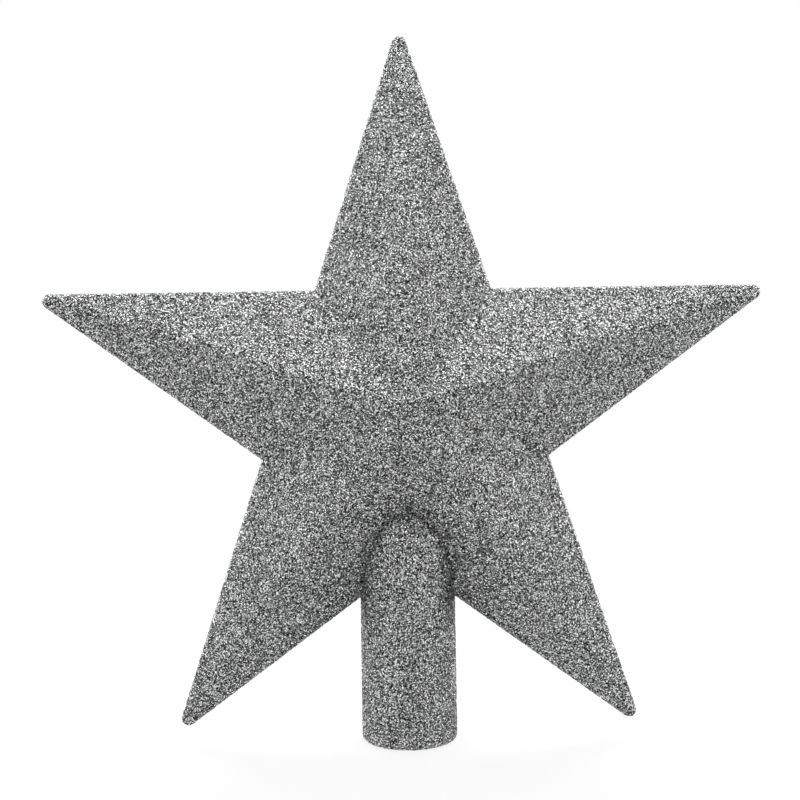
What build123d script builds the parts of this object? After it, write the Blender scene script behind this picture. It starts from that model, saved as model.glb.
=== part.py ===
from build123d import *

import os
from math import atan, cos, pi, radians, sin, tan

# A hollow tree topper star: two moulded half shells, cemented together along a
# tongue and groove, under one continuous coat of glitter. Millimetres, +Z up, the
# star in the XZ plane with its front to -Y. The origin is the middle of the mouth.

# Star, measured over the glitter
arm_count = 5
tip_reach = 99.5  # star's centre to the end of an arm
tip_angle = 36.0  # between the two edges of an arm, in degrees
tip_radius = 1.8  # rounding of an arm's end, seen from the front
peak_depth = 22.5  # mid-plane to the point where the facets would meet
edge_half = 1.7  # mid-plane to the line where a facet meets the edge
ridge_radius = 3.0  # rounding along the ridges of an arm
edge_radius = 2.2  # rounding along the edges of an arm

# Neck, measured over the glitter
neck_diameter = 24.6
centre_height = 85.5  # mouth to the star's centre
dome_drop = 34.5  # star's centre down to where the neck's end starts to round
lip_radius = 1.6  # rounding round the mouth

# Walls
coat = 0.4  # lacquer and glitter
wall = 1.5  # moulded shell
core_radius = 0.4  # least rounding inside the shells
rounding_share = 0.95  # most of a wall that a rounding may take

# Seam between the half shells
tongue_width = 0.7
tongue_height = 0.9
seam_gap = 0.1  # clearance on each side of the tongue
bead_height = 0.3  # cement between the tongue and the floor of the groove

# Levels below the glitter's surface
shell_level = coat
hollow_level = coat + wall
tongue_level = hollow_level - tongue_width
groove_level = tongue_level - seam_gap

# Plan and slope of the star
half_tip = radians(tip_angle / 2)
half_pitch = pi / arm_count
sharp_reach = tip_reach + tip_radius * (1 / sin(half_tip) - 1)
edge_offset = sharp_reach * sin(half_tip)
facet_slope = atan((peak_depth - edge_half) / edge_offset)
half_edge_turn = (pi / 2 - facet_slope) / 2

# Places
neck_radius = neck_diameter / 2
dome_height = centre_height - dome_drop
seam_foot = shell_level + lip_radius
star_plane = Plane(origin=(0, 0, centre_height), x_dir=(1, 0, 0), z_dir=(0, -1, 0))


def rounding(radius, level):
    """A rounding of the glitter's surface, carried down to a level below it."""
    return max(radius - level, core_radius)


def edge_rounding(level):
    """The rounding along an arm's edges, limited by the edge's height and by the tip."""
    room = edge_half / tan(half_edge_turn) - level
    return min(rounding(edge_radius, level), rounding_share * min(room, rounding(tip_radius, level)))


def mouth_rounding(level):
    """The rounding round the mouth, limited by the thickness of the wall there."""
    return min(rounding(lip_radius, level), rounding_share * (hollow_level - level))


def star_corner(index, level):
    """A sharp corner of the star's outline: tips at even, crotches at odd indices."""
    offset = edge_offset - level
    reach = offset / sin(half_tip + half_pitch) if index % 2 else offset / sin(half_tip)
    turn = pi / 2 + index * half_pitch
    return (reach * cos(turn), reach * sin(turn))


def facet_plane(side, face, level):
    """The plane of one facet of an arm that points to +Y in the XY plane."""
    lean = sin(facet_slope)
    normal = Vector(side * lean * cos(half_tip), lean * sin(half_tip), face * cos(facet_slope))
    return Plane(origin=Vector(0, 0, face * peak_depth) - normal * level, z_dir=normal)


def make_arm(level):
    """One arm in the XY plane, pointing to +Y, with its ridges, edges and tip rounded."""
    with BuildPart() as arm:
        with BuildSketch() as plan:
            with BuildLine():
                Polyline((0, 0), *(star_corner(index, level) for index in (-1, 0, 1)), close=True)
            make_face()
            fillet(plan.vertices().sort_by(Axis.Y)[-1], rounding(tip_radius, level))
        extrude(amount=peak_depth, both=True)
        for face in (1, -1):
            for side in (1, -1):
                split(bisect_by=facet_plane(side, face, level), keep=Keep.BOTTOM)
        ridges = arm.edges().filter_by(GeomType.LINE).sort_by(SortBy.LENGTH)[-2:]
        fillet(ridges, rounding(ridge_radius, level))
        edge_bands = arm.faces().filter_by(GeomType.PLANE).sort_by(Axis.Y)[-2:]
        tip_band = arm.faces().filter_by(GeomType.CYLINDER).sort_by(Axis.Y)[-1]
        rim = ShapeList([*edge_bands, tip_band]).edges().filter_by(Axis.Z, reverse=True)
        fillet(rim, edge_rounding(level))
    return arm.part


def make_neck(level, foot, lip):
    """The neck as a solid form from its foot, with any lip rounded, up to its domed end."""
    radius = neck_radius - level
    with BuildPart() as neck:
        with BuildSketch(Plane.XZ) as profile:
            with BuildLine():
                Polyline((0, dome_height + radius), (0, foot), (radius, foot), (radius, dome_height))
                CenterArc((0, dome_height), radius, 0, 90)
            make_face()
            if lip:
                fillet(profile.vertices().sort_by(Axis.X)[-2:].sort_by(Axis.Y)[0], lip)
        revolve(axis=Axis.Z)
    return neck.part


def make_form(level, foot, lip):
    """The whole star and neck as a solid form, a level below the glitter's surface."""
    arm = make_arm(level)
    neck = make_neck(level, foot, lip)
    with BuildPart(star_plane) as star:
        with PolarLocations(0, arm_count):
            add(arm)
    with BuildPart() as form:
        add(star.part)
        add(neck)
    return form.part


def seam_outline(level, foot):
    """The outline of the form in the parting plane, down to a height on the neck."""
    radius = neck_radius - level
    with BuildSketch() as outline:
        with BuildLine():
            Polyline(*(star_corner(index, level) for index in range(2 * arm_count)), close=True)
        make_face()
        fillet(outline.vertices().group_by(SortBy.DISTANCE)[-1], rounding(tip_radius, level))
        with Locations((0, dome_height - centre_height)):
            Circle(radius)
            Rectangle(2 * radius, dome_height - foot, align=(Align.CENTER, Align.MAX))
    return outline.sketch


os.makedirs("parts", exist_ok=True)

# Solid forms: the glitter's surface, the joined shells, and the hollow that runs out of the mouth
glitter_form = make_form(0, 0, mouth_rounding(0))
shell_form = make_form(shell_level, shell_level, mouth_rounding(shell_level))
hollow_form = make_form(hollow_level, -wall, 0)

# Outlines of the seam, from the groove's outer wall to its inner wall
groove_foot = seam_foot - seam_gap
groove_outer = seam_outline(groove_level, groove_foot)
groove_inner = seam_outline(hollow_level + seam_gap, groove_foot)
tongue_outer = seam_outline(tongue_level, seam_foot)
bead_outer = seam_outline(groove_level, seam_foot)
hollow_outline = seam_outline(hollow_level, seam_foot)

# Front shell, with the tongue that runs round its parting face
with BuildPart() as front_shell:
    add(shell_form)
    add(hollow_form, mode=Mode.SUBTRACT)
    split(bisect_by=Plane.XZ, keep=Keep.TOP)
    with BuildSketch(star_plane):
        add(tongue_outer)
        add(hollow_outline, mode=Mode.SUBTRACT)
    extrude(amount=-tongue_height)
front_shell.part.label = "front_shell"
export_step(front_shell.part, "parts/front_shell.step")

# Rear shell, with the groove that takes the tongue and the cement
with BuildPart() as rear_shell:
    add(shell_form)
    add(hollow_form, mode=Mode.SUBTRACT)
    split(bisect_by=Plane.XZ, keep=Keep.BOTTOM)
    with BuildSketch(star_plane):
        add(groove_outer)
        add(groove_inner, mode=Mode.SUBTRACT)
    extrude(amount=-(tongue_height + bead_height), mode=Mode.SUBTRACT)
rear_shell.part.label = "rear_shell"
export_step(rear_shell.part, "parts/rear_shell.step")

# Cement, between the end of the tongue and the floor of the groove
with BuildPart() as seam_cement:
    with BuildSketch(star_plane.offset(-tongue_height)):
        add(bead_outer)
        add(hollow_outline, mode=Mode.SUBTRACT)
    extrude(amount=-bead_height)
seam_cement.part.label = "seam_cement"
export_step(seam_cement.part, "parts/seam_cement.step")

# Glitter coat, over both shells and round the mouth
with BuildPart() as glitter_coat:
    add(glitter_form)
    add(shell_form, mode=Mode.SUBTRACT)
    add(hollow_form, mode=Mode.SUBTRACT)
glitter_coat.part.label = "glitter_coat"
export_step(glitter_coat.part, "parts/glitter_coat.step")
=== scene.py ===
import math

import bmesh
import bpy
import numpy as np
from mathutils import Matrix, Vector
from mathutils.bvhtree import BVHTree


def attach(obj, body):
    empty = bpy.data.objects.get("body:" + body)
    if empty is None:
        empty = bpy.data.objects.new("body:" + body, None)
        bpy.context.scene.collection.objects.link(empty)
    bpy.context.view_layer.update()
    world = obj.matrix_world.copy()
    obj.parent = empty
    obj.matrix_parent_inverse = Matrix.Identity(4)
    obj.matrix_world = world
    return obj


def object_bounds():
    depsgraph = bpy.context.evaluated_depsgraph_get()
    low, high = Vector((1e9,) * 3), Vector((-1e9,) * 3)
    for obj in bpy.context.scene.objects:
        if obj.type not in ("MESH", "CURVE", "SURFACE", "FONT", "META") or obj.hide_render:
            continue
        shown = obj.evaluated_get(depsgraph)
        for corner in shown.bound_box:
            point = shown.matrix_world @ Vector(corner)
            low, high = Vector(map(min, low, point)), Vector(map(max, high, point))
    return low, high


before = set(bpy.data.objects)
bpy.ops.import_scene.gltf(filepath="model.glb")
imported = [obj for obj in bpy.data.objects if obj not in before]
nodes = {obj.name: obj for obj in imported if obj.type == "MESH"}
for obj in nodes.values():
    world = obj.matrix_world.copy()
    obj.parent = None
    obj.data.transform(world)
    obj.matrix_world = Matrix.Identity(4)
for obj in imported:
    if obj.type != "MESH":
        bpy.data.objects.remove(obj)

# A tree topper star of two moulded half shells under a coat of silver glitter.
# Metres, +Z up, front to -Y, with the middle of the neck's mouth at the origin.

cad_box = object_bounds()

# Star and neck
star_centre = Vector((0, 0, 0.0855))
arm_names = ("top_arm", "left_arm", "lower_left_arm", "lower_right_arm", "right_arm")
neck_radius = 0.0123
dome_height = 0.051  # where the neck's upper end starts to round
peak_depth = 0.0225  # mid-plane to the point where the facets would meet
facet_slope = math.radians(33)
facet_turn = math.radians(54)  # of the lower arms' inner facets, seen from the front
coat_thickness = 0.0004
inner_reach = 0.6 * coat_thickness  # how near to a shell the coat's inner faces lie
weld_distance = 1e-6

# Foil flakes on the lacquer
flake_width = 0.0003
flake_thickness = 0.00003
flake_spread = 0.25  # how far flakes differ in width
flake_tilt = math.radians(26)  # how far flakes lean at most
flake_lift = 0.00006  # how far flakes lie off the lacquer at most
flakes_per_square_metre = 7.8e6
flake_seed = 11
seed_step = 10  # from one part of the star to the next
corners_per_flake = 4
cell_reach = 0.4  # of a UV cell's width, from its middle to the flake's corners

# Finish of the flakes, with greys and tints by a flake's own numbers from 0 to 1
silver_levels = ((0.0, 0.0), (0.36, 0.035), (0.57, 0.185), (0.76, 0.49), (0.88, 1.0))
foil_tints = (
    (0.0, (0.985, 0.998, 1.0)),
    (0.70, (0.88, 0.94, 1.0)),
    (0.80, (1.0, 0.94, 1.0)),
    (0.88, (1.0, 1.0, 0.86)),
    (0.95, (0.94, 1.0, 0.94)),
)
foil_roughness = (0.22, 0.4)
foil_metallic = 0.9
sunk_flake_width = 0.00024
sunk_flake_lean = 0.8
# Painted shade in the crease where the neck's rounded end meets the facets
painted_shade_width = 0.006  # the band of the facets along the neck's rounded end where painted shade darkens the flakes
painted_shade_steepness = 2.5  # how much narrower that band is on the neck's own side
painted_shade_depth = 0.27  # how much the painted shade darkens the flakes there
painted_shade_ends = (0.03, 0.056)  # heights between which the painted shade grows to its full depth

# Finish of the plastic and the cement
cloud_detail = 5.0
ripple_height = 0.0001
ripple_strength = 0.3

# Floor
floor_half = 3.0
floor_patch = 0.25  # size of the floor's faint clouds
floor_levels = ((0.0, 0.93), (1.0, 0.95))
floor_roughness = 0.9
paper_share = 0.82  # of the floor's white that no shadow dims, near the star
shadow_reach = (0.1, 0.4)  # where the floor's shadow starts and stops fading out

# Light
key_radiance = 1.55
side_radiance = 0.7
rim_radiance = 4.4
surround_level = 0.4  # of white, for the light that falls on matt surfaces
room_level = 0.2  # of white, straight before and behind the star
room_half_angle = math.radians(55)
reflected_rays = ("Is Glossy Ray", "Is Transmission Ray")
softboxes = (  # name, place, width, height and brightness
    ("overhead", (0, -0.3, 0.75), 1.0, 0.5, key_radiance),
    ("left_side", (-0.72, -0.25, 0.2), 0.4, 0.36, side_radiance),
    ("right_side", (0.72, -0.25, 0.2), 0.4, 0.36, side_radiance),
    ("left_rim", (-0.55, 0.45, 0.32), 0.4, 0.5, rim_radiance),
    ("right_rim", (0.55, 0.45, 0.32), 0.4, 0.5, rim_radiance),
    ("top_rim", (0, 0.5, 0.75), 0.8, 0.4, rim_radiance),
)

# Picture
frame_width = 0.2111  # what the picture takes in at the star's mid-plane
camera_distance = 0.28
camera_rise = math.radians(-1.6)  # how far above the star's centre the camera stands
camera_turn = math.radians(-0.85)  # how far round to the star's right the camera stands
camera_roll = math.radians(0.93)
camera_near = 0.01
aim_aside = -0.0012  # from the star's centre to the middle of the picture
aim_above = 0.0029
sensor_width = 36.0


def put(tree, socket, value):
    """Links an output to a socket, or sets the socket's own value."""
    if isinstance(value, bpy.types.NodeSocket):
        tree.links.new(value, socket)
    else:
        socket.default_value = value


def add_node(tree, kind, settings=None, **values):
    """A node with its settings, and with values or links put in its named inputs."""
    node = tree.nodes.new(kind)
    for name, value in (settings or {}).items():
        setattr(node, name, value)
    for name, value in values.items():
        put(tree, node.inputs[name.replace("_", " ")], value)
    return node


def by_identifier(sockets, identifier):
    """One of the sockets of a node that has several of the same name."""
    return next(socket for socket in sockets if socket.identifier == identifier)


def maths(tree, operation, first, second=0.0):
    """What a Math node makes of one or two numbers."""
    node = add_node(tree, "ShaderNodeMath", {"operation": operation})
    put(tree, node.inputs[0], first)
    put(tree, node.inputs[1], second)
    return node.outputs["Value"]


def vector_maths(tree, operation, first, second=(0, 0, 0)):
    """What a Vector Math node makes of one or two vectors."""
    node = add_node(tree, "ShaderNodeVectorMath", {"operation": operation})
    put(tree, node.inputs[0], first)
    put(tree, node.inputs[1], second)
    return node.outputs["Value" if operation in ("LENGTH", "DOT_PRODUCT") else "Vector"]


def scaled(tree, vector, factor):
    """A vector or colour times a number."""
    node = add_node(tree, "ShaderNodeVectorMath", {"operation": "SCALE"}, Scale=factor)
    put(tree, node.inputs[0], vector)
    return node.outputs["Vector"]


def excess(tree, value, limit):
    """How far a number is over a limit, or 0."""
    return maths(tree, "MAXIMUM", maths(tree, "SUBTRACT", value, limit), 0.0)


def between(tree, share, low, high):
    """The number that is a share of the way from low to high."""
    node = add_node(tree, "ShaderNodeMapRange", Value=share, To_Min=low, To_Max=high)
    return node.outputs["Result"]


def eased(tree, value, start, end, first, last):
    """A number that goes smoothly from first to last while a value goes from start to end."""
    node = add_node(
        tree, "ShaderNodeMapRange", {"interpolation_type": "SMOOTHSTEP"},
        Value=value, From_Min=start, From_Max=end, To_Min=first, To_Max=last,
    )
    return node.outputs["Result"]


def mix_colours(tree, factor, first, second, blend="MIX"):
    """Two colours mixed."""
    node = add_node(tree, "ShaderNodeMix", {"data_type": "RGBA", "blend_type": blend}, Factor=factor)
    put(tree, by_identifier(node.inputs, "A_Color"), first)
    put(tree, by_identifier(node.inputs, "B_Color"), second)
    return by_identifier(node.outputs, "Result_Color")


def ramp(tree, factor, stops, interpolation="LINEAR"):
    """A colour ramp through (position, colour) stops."""
    node = add_node(tree, "ShaderNodeValToRGB", Fac=factor)
    node.color_ramp.interpolation = interpolation
    elements = node.color_ramp.elements
    while len(elements) < len(stops):
        elements.new(1.0)
    for element, (position, colour) in zip(elements, stops):
        element.position = position
        element.color = (*colour, 1)
    return node.outputs["Color"]


def grey_ramp(tree, factor, levels):
    """A colour ramp through greys of (position, level)."""
    return ramp(tree, factor, [(position, (level, level, level)) for position, level in levels])


def object_place(tree):
    """Where a point lies on the object."""
    return tree.nodes.new("ShaderNodeTexCoord").outputs["Object"]


def ray_mask(tree, *kinds):
    """1 for rays of the named kinds, otherwise 0."""
    path = tree.nodes.new("ShaderNodeLightPath").outputs
    mask = path[kinds[0]]
    for kind in kinds[1:]:
        mask = maths(tree, "MAXIMUM", mask, path[kind])
    return mask


def shader_group(name, inputs, outputs):
    """An empty shader node group with named sockets, what it is given and what it puts out."""
    group = bpy.data.node_groups.new(name, "ShaderNodeTree")
    for direction, sockets in (("INPUT", inputs), ("OUTPUT", outputs)):
        for socket_name, kind in sockets.items():
            group.interface.new_socket(socket_name, in_out=direction, socket_type="NodeSocket" + kind)
    given = group.nodes.new("NodeGroupInput").outputs
    result = group.nodes.new("NodeGroupOutput").inputs
    return group, given, result


def add_group(tree, group, **values):
    """A shader node group placed in a material, as its outputs."""
    return add_node(tree, "ShaderNodeGroup", {"node_tree": group}, **values).outputs


def new_material(name):
    """A material with its tree and its Principled shader."""
    material = bpy.data.materials.new(name)
    material.use_nodes = True
    return material, material.node_tree, material.node_tree.nodes["Principled BSDF"]


def place_object(name, data):
    """A new object of the scene."""
    thing = bpy.data.objects.new(name, data)
    bpy.context.scene.collection.objects.link(thing)
    return thing


def make_flake_finish():
    """Group: the colour and roughness of a flake, from its place in the range of tones and tints, with
    painted shade.
    """
    group, given, result = shader_group(
        "flake_finish",
        {"Tone": "Float", "Tint": "Float", "Shade": "Float"},
        {"Colour": "Color", "Roughness": "Float"},
    )
    silver = grey_ramp(group, given["Tone"], silver_levels)
    tint = ramp(group, given["Tint"], foil_tints, "CONSTANT")
    tinted = mix_colours(group, 1.0, silver, tint, "MULTIPLY")
    # Painted shade darkens the colour by the Shade it is given
    light = maths(group, "SUBTRACT", 1.0, given["Shade"])
    put(group, result["Colour"], scaled(group, tinted, light))
    put(group, result["Roughness"], between(group, given["Tint"], *foil_roughness))
    return group


def make_painted_crease_shade():
    """Group: painted shade in the crease where the neck's rounded end meets the lower arms' facets."""
    group, given, result = shader_group("crease_shade", {"Width": "Float", "Depth": "Float"}, {"Shade": "Float"})
    place = object_place(group)

    # Distance from the neck, a cylinder with a round end
    along = add_node(group, "ShaderNodeSeparateXYZ", Vector=place).outputs
    over_end = excess(group, along["Z"], dome_height)
    spoke = add_node(group, "ShaderNodeCombineXYZ", X=along["X"], Y=along["Y"], Z=over_end)
    from_axis = vector_maths(group, "LENGTH", spoke.outputs["Vector"])
    off_neck = excess(group, from_axis, neck_radius)

    # Distance from the facets, folded onto one quarter of the star
    folded = vector_maths(group, "ABSOLUTE", vector_maths(group, "SUBTRACT", place, star_centre))
    lean = math.sin(facet_slope)
    facet_normal = (-lean * math.cos(facet_turn), math.cos(facet_slope), lean * math.sin(facet_turn))
    height = vector_maths(group, "DOT_PRODUCT", folded, facet_normal)
    off_facet = excess(group, height, peak_depth * math.cos(facet_slope))

    # Painted shade, strongest at the crease and gone a Width away from it
    off_crease = maths(group, "ADD", off_neck, maths(group, "MULTIPLY", off_facet, painted_shade_steepness))
    shade = eased(group, off_crease, 0.0, given["Width"], given["Depth"], 0.0)
    growing = eased(group, along["Z"], *painted_shade_ends, 0.0, 1.0)
    put(group, result["Shade"], maths(group, "MULTIPLY", shade, growing))
    return group


def make_sunk_flakes():
    """Group: flakes lying in lacquer, each cell with its own tone, tint and lean."""
    group, given, result = shader_group(
        "sunk_flakes",
        {"Width": "Float", "Lean": "Float"},
        {"Tone": "Float", "Tint": "Float", "Normal": "Vector"},
    )
    per_metre = maths(group, "DIVIDE", 1.0, given["Width"])
    cells = add_node(group, "ShaderNodeTexVoronoi", Vector=object_place(group), Scale=per_metre)
    split = add_node(group, "ShaderNodeSeparateColor", Color=cells.outputs["Color"])
    chance = add_node(group, "ShaderNodeTexWhiteNoise", Vector=cells.outputs["Color"])
    about_zero = vector_maths(group, "SUBTRACT", chance.outputs["Color"], (0.5, 0.5, 0.5))
    surface = group.nodes.new("ShaderNodeNewGeometry").outputs["Normal"]
    leaning = vector_maths(group, "ADD", surface, scaled(group, about_zero, given["Lean"]))
    put(group, result["Tone"], split.outputs["Red"])
    put(group, result["Tint"], split.outputs["Green"])
    put(group, result["Normal"], vector_maths(group, "NORMALIZE", leaning))
    return group


def make_moulded_surface():
    """Group: the faint cloudiness, roughness and ripple of a moulded or poured surface."""
    group, given, result = shader_group(
        "moulded_surface",
        {"Patch": "Float", "Dull": "Color", "Clear": "Color", "Smooth": "Float", "Rough": "Float"},
        {"Colour": "Color", "Roughness": "Float", "Height": "Float"},
    )
    noise = add_node(
        group, "ShaderNodeTexNoise",
        Vector=object_place(group), Scale=maths(group, "DIVIDE", 1.0, given["Patch"]), Detail=cloud_detail,
    )
    cloud = noise.outputs["Fac"]
    put(group, result["Colour"], mix_colours(group, cloud, given["Dull"], given["Clear"]))
    put(group, result["Roughness"], between(group, cloud, given["Smooth"], given["Rough"]))
    put(group, result["Height"], cloud)
    return group


def give_foil(tree, shader, flake_finish, crease_shade, tone, tint):
    """Gives a material's shader the look of foil flakes, with painted shade in the crease."""
    # Painted shade in the crease, from the crease group
    painted_shade = add_group(tree, crease_shade, Width=painted_shade_width, Depth=painted_shade_depth)
    finish = add_group(tree, flake_finish, Tone=tone, Tint=tint, Shade=painted_shade["Shade"])
    put(tree, shader.inputs["Base Color"], finish["Colour"])
    put(tree, shader.inputs["Roughness"], finish["Roughness"])
    put(tree, shader.inputs["Metallic"], foil_metallic)


def make_loose_glitter(flake_finish, crease_shade):
    """The flakes that lie on the lacquer, each toned by its own numbers."""
    material, tree, shader = new_material("loose_glitter")
    tone = add_node(tree, "ShaderNodeAttribute", {"attribute_name": "flake_tone"})
    tint = add_node(tree, "ShaderNodeAttribute", {"attribute_name": "flake_tint"})
    give_foil(tree, shader, flake_finish, crease_shade, tone.outputs["Fac"], tint.outputs["Fac"])
    return material


def make_glitter_lacquer(flake_finish, sunk_flakes, crease_shade):
    """The lacquer between the loose flakes, full of flakes of its own."""
    material, tree, shader = new_material("glitter_lacquer")
    cells = add_group(tree, sunk_flakes, Width=sunk_flake_width, Lean=sunk_flake_lean)
    give_foil(tree, shader, flake_finish, crease_shade, cells["Tone"], cells["Tint"])
    put(tree, shader.inputs["Normal"], cells["Normal"])
    return material


def make_moulded(name, surface, dull, clear, patch, smooth, rough):
    """A plain moulded or poured finish with a faint ripple."""
    material, tree, shader = new_material(name)
    cloud = add_group(
        tree, surface, Patch=patch, Dull=(*dull, 1), Clear=(*clear, 1), Smooth=smooth, Rough=rough
    )
    bump = add_node(
        tree, "ShaderNodeBump", Height=cloud["Height"], Strength=ripple_strength, Distance=ripple_height
    )
    put(tree, shader.inputs["Base Color"], cloud["Colour"])
    put(tree, shader.inputs["Roughness"], cloud["Roughness"])
    put(tree, shader.inputs["Normal"], bump.outputs["Normal"])
    return material


def dress(node, material):
    """Gives a CAD node its finish."""
    node.data.materials.clear()
    node.data.materials.append(material)


def region_of(point):
    """The part of the star that a point of the coat lies on."""
    axis_point = Vector((0, 0, min(point.z, dome_height)))
    if (point - axis_point).length < neck_radius + coat_thickness / 2:
        return "neck"
    turn = math.atan2(point.z - star_centre.z, point.x) - math.pi / 2
    pitch = math.tau / len(arm_names)
    return arm_names[round(turn / pitch) % len(arm_names)]


def outside_of_coat(coat, shells):
    """The outer skin of the coat's mesh, with its doubles merged."""
    skin = bmesh.new()
    skin.from_mesh(coat.data)
    bmesh.ops.remove_doubles(skin, verts=skin.verts, dist=weld_distance)
    depsgraph = bpy.context.evaluated_depsgraph_get()
    backing = [BVHTree.FromObject(shell, depsgraph) for shell in shells]
    inner = []
    for face in skin.faces:
        middle = face.calc_center_median()
        distances = [distance for *_, distance in (tree.find_nearest(middle) for tree in backing)]
        if min(distances) < inner_reach:
            inner.append(face)
    bmesh.ops.delete(skin, geom=inner, context="FACES")
    return skin


def make_carrier(skin, region):
    """An object with the coat's outer faces of one part of the star."""
    patch = skin.copy()
    others = [face for face in patch.faces if region_of(face.calc_center_median()) != region]
    bmesh.ops.delete(patch, geom=others, context="FACES")
    name = "glitter_" + region
    mesh = bpy.data.meshes.new(name)
    patch.to_mesh(mesh)
    patch.free()
    return place_object(name, mesh)


def one_flake(tree, width, thickness):
    """A square of foil, very slightly creased, with its four corners alternately up and down."""
    reach = maths(tree, "MULTIPLY", width, math.sqrt(0.5))
    corners = add_node(tree, "GeometryNodeMeshCircle", Vertices=corners_per_flake, Radius=reach)
    place_in_order = tree.nodes.new("GeometryNodeInputIndex").outputs["Index"]
    up_or_down = maths(tree, "SUBTRACT", maths(tree, "MODULO", place_in_order, 2.0), 0.5)
    height = maths(tree, "MULTIPLY", up_or_down, thickness)
    offset = add_node(tree, "ShaderNodeCombineXYZ", Z=height).outputs["Vector"]
    creased = add_node(tree, "GeometryNodeSetPosition", Geometry=corners.outputs["Mesh"], Offset=offset)
    flake = add_node(tree, "GeometryNodeConvexHull", Geometry=creased.outputs["Geometry"])
    return flake.outputs["Convex Hull"]


def make_flake_layer(material):
    """Geometry Nodes: scatters thin foil flakes over a surface."""
    tree = bpy.data.node_groups.new("flake_layer", "GeometryNodeTree")
    tree.is_modifier = True
    tree.interface.new_socket("Surface", in_out="INPUT", socket_type="NodeSocketGeometry")
    for name in ("Flakes per Area", "Width", "Thickness", "Spread", "Tilt", "Lift"):
        tree.interface.new_socket(name, in_out="INPUT", socket_type="NodeSocketFloat")
    tree.interface.new_socket("Seed", in_out="INPUT", socket_type="NodeSocketInt")
    tree.interface.new_socket("Flakes", in_out="OUTPUT", socket_type="NodeSocketGeometry")
    given = tree.nodes.new("NodeGroupInput").outputs
    result = tree.nodes.new("NodeGroupOutput").inputs

    def chance(low, high, shift):
        """A random number for each flake, between two values."""
        node = add_node(
            tree, "FunctionNodeRandomValue", {"data_type": "FLOAT"},
            Seed=maths(tree, "ADD", given["Seed"], shift),
        )
        put(tree, by_identifier(node.inputs, "Min_001"), low)
        put(tree, by_identifier(node.inputs, "Max_001"), high)
        return by_identifier(node.outputs, "Value_001")

    # Where flakes lie, and how each is turned and sized
    scatter = add_node(
        tree, "GeometryNodeDistributePointsOnFaces", {"distribute_method": "RANDOM"},
        Mesh=given["Surface"], Density=given["Flakes per Area"], Seed=given["Seed"],
    ).outputs
    rise = scaled(tree, scatter["Normal"], chance(0.0, given["Lift"], 1))
    lifted = add_node(tree, "GeometryNodeSetPosition", Geometry=scatter["Points"], Offset=rise)
    least_tilt = maths(tree, "MULTIPLY", given["Tilt"], -1.0)
    lean = add_node(
        tree, "ShaderNodeCombineXYZ",
        X=chance(least_tilt, given["Tilt"], 2),
        Y=chance(least_tilt, given["Tilt"], 3),
        Z=chance(0.0, math.tau, 4),
    )
    turned = add_node(
        tree, "FunctionNodeRotateRotation", {"rotation_space": "LOCAL"},
        Rotation=scatter["Rotation"], Rotate_By=lean.outputs["Vector"],
    )
    smallest = maths(tree, "SUBTRACT", 1.0, given["Spread"])
    largest = maths(tree, "ADD", 1.0, given["Spread"])
    laid = add_node(
        tree, "GeometryNodeInstanceOnPoints",
        Points=lifted.outputs["Geometry"],
        Instance=one_flake(tree, given["Width"], given["Thickness"]),
        Rotation=turned.outputs["Rotation"],
        Scale=chance(smallest, largest, 5),
    )

    # Numbers that the finish reads for each flake
    marked = laid.outputs["Instances"]
    for name, shift in (("flake_tone", 6), ("flake_tint", 7)):
        keep = add_node(
            tree, "GeometryNodeStoreNamedAttribute", {"data_type": "FLOAT", "domain": "INSTANCE"},
            Geometry=marked, Name=name, Value=chance(0.0, 1.0, shift),
        )
        marked = keep.outputs["Geometry"]
    real = add_node(tree, "GeometryNodeRealizeInstances", Geometry=marked)
    painted = add_node(tree, "GeometryNodeSetMaterial", Geometry=real.outputs["Geometry"], Material=material)
    put(tree, result["Flakes"], painted.outputs["Geometry"])
    return tree


def press_into_box(mesh, box):
    """Presses the flakes that would stand out of the coat's own box back into the lacquer."""
    lowest, highest = (np.array(corner, dtype=np.float32) for corner in box)
    points = np.empty(3 * len(mesh.vertices), dtype=np.float32)
    mesh.vertices.foreach_get("co", points)
    flakes = points.reshape(-1, corners_per_flake, 3)
    flakes -= np.maximum(flakes.max(axis=1, keepdims=True) - highest, 0)
    flakes += np.maximum(lowest - flakes.min(axis=1, keepdims=True), 0)
    mesh.vertices.foreach_set("co", points)
    mesh.update()


def give_each_flake_a_cell(mesh):
    """A UV map with a square of its own for each flake, so that a baked colour stays on its flake."""
    corner = np.empty(len(mesh.loops), dtype=np.int32)
    mesh.loops.foreach_get("vertex_index", corner)
    flake = corner // corners_per_flake
    across = math.ceil(math.sqrt(flake.max() + 1))
    turn = (corner % corners_per_flake) * (math.tau / corners_per_flake)
    column = flake % across + 0.5 + cell_reach * np.cos(turn)
    row = flake // across + 0.5 + cell_reach * np.sin(turn)
    layout = mesh.uv_layers.new(name="OFBake")
    layout.data.foreach_set("uv", (np.stack([column, row], axis=1) / across).ravel().astype(np.float32))


def scatter_flakes(carrier, tree, seed):
    """Turns a carrier into the plain mesh of the flakes that lie on it."""
    amounts = {
        "Flakes per Area": flakes_per_square_metre,
        "Width": flake_width,
        "Thickness": flake_thickness,
        "Spread": flake_spread,
        "Tilt": flake_tilt,
        "Lift": flake_lift,
        "Seed": seed,
    }
    layer = carrier.modifiers.new("flake_layer", "NODES")
    layer.node_group = tree
    for item in tree.interface.items_tree:
        if item.in_out == "INPUT" and item.name in amounts:
            layer[item.identifier] = amounts[item.name]
    depsgraph = bpy.context.evaluated_depsgraph_get()
    flakes = bpy.data.meshes.new_from_object(carrier.evaluated_get(depsgraph), depsgraph=depsgraph)
    carrier.modifiers.remove(layer)
    carrier.data = flakes
    flakes.name = carrier.name
    press_into_box(flakes, cad_box)
    give_each_flake_a_cell(flakes)


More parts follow.
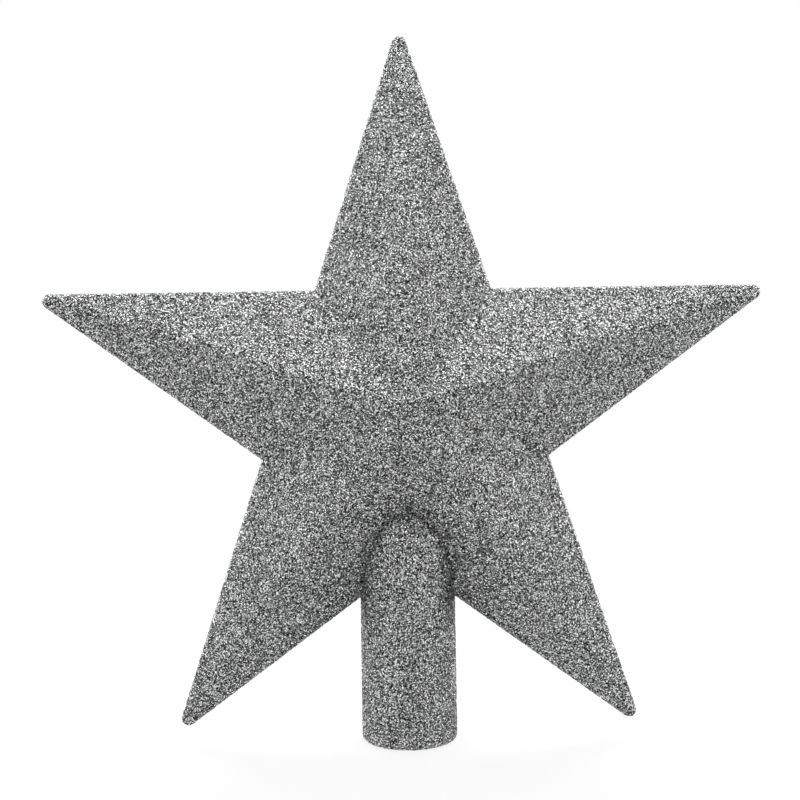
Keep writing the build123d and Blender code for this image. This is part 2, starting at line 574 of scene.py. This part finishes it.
def make_white_floor():
    """A white finish that keeps a faint shadow near the star, and that reflections see as plain white."""
    material, tree, shader = new_material("white_floor")
    place = object_place(tree)
    cloud = add_node(tree, "ShaderNodeTexNoise", Vector=place, Scale=1 / floor_patch)
    put(tree, shader.inputs["Base Color"], grey_ramp(tree, cloud.outputs["Fac"], floor_levels))
    put(tree, shader.inputs["Roughness"], floor_roughness)
    paper = add_node(tree, "ShaderNodeEmission", Color=(1, 1, 1, 1), Strength=1.0)
    fading = eased(tree, vector_maths(tree, "LENGTH", place), *shadow_reach, paper_share, 1.0)
    seen = maths(tree, "MULTIPLY", ray_mask(tree, "Is Camera Ray"), fading)
    share = maths(tree, "MAXIMUM", seen, ray_mask(tree, *reflected_rays))
    mixed = add_node(tree, "ShaderNodeMixShader", Fac=share)
    put(tree, mixed.inputs[1], shader.outputs["BSDF"])
    put(tree, mixed.inputs[2], paper.outputs["Emission"])
    put(tree, tree.nodes["Material Output"].inputs["Surface"], mixed.outputs["Shader"])
    return material


def make_floor(level):
    """A plain square floor."""
    signs = ((-1, -1), (1, -1), (1, 1), (-1, 1))
    mesh = bpy.data.meshes.new("floor")
    mesh.from_pydata([(x * floor_half, y * floor_half, level) for x, y in signs], [], [(0, 1, 2, 3)])
    mesh.materials.append(make_white_floor())
    return place_object("floor", mesh)


def make_surround():
    """A white background, an even grey light, and in reflections a dark room before and behind the star."""
    world = bpy.data.worlds.new("surround")
    bpy.context.scene.world = world
    world.use_nodes = True
    tree = world.node_tree
    direction = tree.nodes.new("ShaderNodeTexCoord").outputs["Generated"]
    along = add_node(tree, "ShaderNodeSeparateXYZ", Vector=direction).outputs
    toward = maths(tree, "ABSOLUTE", along["Y"])
    room = eased(tree, toward, math.cos(room_half_angle), 1.0, 1.0, room_level)
    seen = ray_mask(tree, "Is Camera Ray")
    shown = maths(tree, "MAXIMUM", room, seen)
    seen_or_reflected = ray_mask(tree, "Is Camera Ray", *reflected_rays)
    background = tree.nodes["Background"]
    put(tree, background.inputs["Color"], (1, 1, 1, 1))
    put(tree, background.inputs["Strength"], between(tree, seen_or_reflected, surround_level, shown))


def add_softbox(name, place, width, height, radiance):
    """A soft rectangular lamp of a given brightness, aimed at the star's centre."""
    lamp = bpy.data.lights.new(name, "AREA")
    lamp.shape = "RECTANGLE"
    lamp.size = width
    lamp.size_y = height
    lamp.energy = radiance * math.pi * width * height
    softbox = place_object(name, lamp)
    softbox.location = place
    softbox.rotation_euler = (star_centre - Vector(place)).to_track_quat("-Z", "Y").to_euler()


def add_camera():
    """A camera in front of the star, a little low and rolled."""
    data = bpy.data.cameras.new("camera")
    data.sensor_width = sensor_width
    data.lens = sensor_width * camera_distance / frame_width
    data.clip_start = camera_near
    camera = place_object("camera", data)
    stand = Matrix.Rotation(camera_turn, 3, "Z") @ Matrix.Rotation(-camera_rise, 3, "X")
    upright = Matrix.Rotation(camera_roll, 3, "Y") @ Matrix.Rotation(math.pi / 2, 3, "X")
    camera.location = star_centre + stand @ Vector((aim_aside, -camera_distance, aim_above))
    camera.rotation_euler = (stand @ upright).to_euler()
    bpy.context.scene.camera = camera


# Finishes
flake_finish = make_flake_finish()
sunk_flakes = make_sunk_flakes()
# Painted shade for the crease by the neck's rounded end
crease_shade = make_painted_crease_shade()
moulded_surface = make_moulded_surface()
loose_glitter = make_loose_glitter(flake_finish, crease_shade)
glitter_lacquer = make_glitter_lacquer(flake_finish, sunk_flakes, crease_shade)
shell_plastic = make_moulded(
    "shell_plastic", moulded_surface,
    dull=(0.5, 0.51, 0.52), clear=(0.62, 0.63, 0.64), patch=0.012, smooth=0.38, rough=0.55,
)
set_cement = make_moulded(
    "set_cement", moulded_surface,
    dull=(0.7, 0.67, 0.58), clear=(0.84, 0.82, 0.76), patch=0.003, smooth=0.15, rough=0.3,
)

# CAD nodes
dress(nodes["front_shell"], shell_plastic)
dress(nodes["rear_shell"], shell_plastic)
dress(nodes["seam_cement"], set_cement)
dress(nodes["glitter_coat"], glitter_lacquer)

# Flakes, part by part of the star
skin = outside_of_coat(nodes["glitter_coat"], [nodes["front_shell"], nodes["rear_shell"]])
flake_layer = make_flake_layer(loose_glitter)
for step, region in enumerate((*arm_names, "neck")):
    flakes = make_carrier(skin, region)
    scatter_flakes(flakes, flake_layer, flake_seed + seed_step * step)
    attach(flakes, "root")
skin.free()

# Stage
make_floor(cad_box[0].z)
make_surround()
for softbox in softboxes:
    add_softbox(*softbox)
add_camera()
bpy.context.scene.view_settings.view_transform = "Standard"
